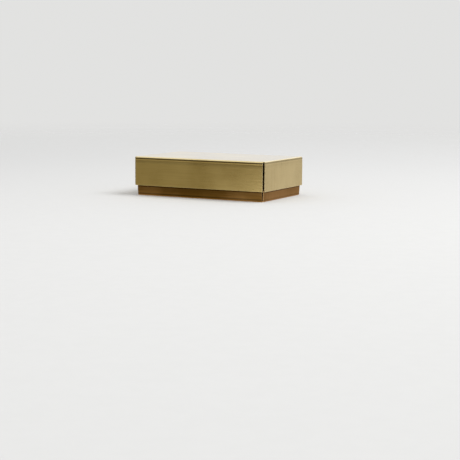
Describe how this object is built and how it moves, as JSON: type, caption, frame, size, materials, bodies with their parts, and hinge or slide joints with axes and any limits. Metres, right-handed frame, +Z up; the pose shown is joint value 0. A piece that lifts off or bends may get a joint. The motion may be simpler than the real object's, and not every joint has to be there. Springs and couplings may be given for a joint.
{
  "type": "decorative box",
  "caption": "Low rectangular decorative box of folded sheet metal, with a deep lift-off brass lid over a brown bronze base, open slits at the corners.",
  "frame": {"origin": "middle of the flat underside, on the surface that the box stands on", "axes": "+X along the box's length, +Y along its width, +Z up through the lid"},
  "size_m": [0.16, 0.0974, 0.0428],
  "materials": {
    "satin_brass": "satin brushed along the sheet, clear lacquer",
    "brown_bronze": "satin brushed, patinated brown"
  },
  "bodies": {
    "root": {"lid": "satin_brass", "base": "brown_bronze"}
  },
  "joints": []
}
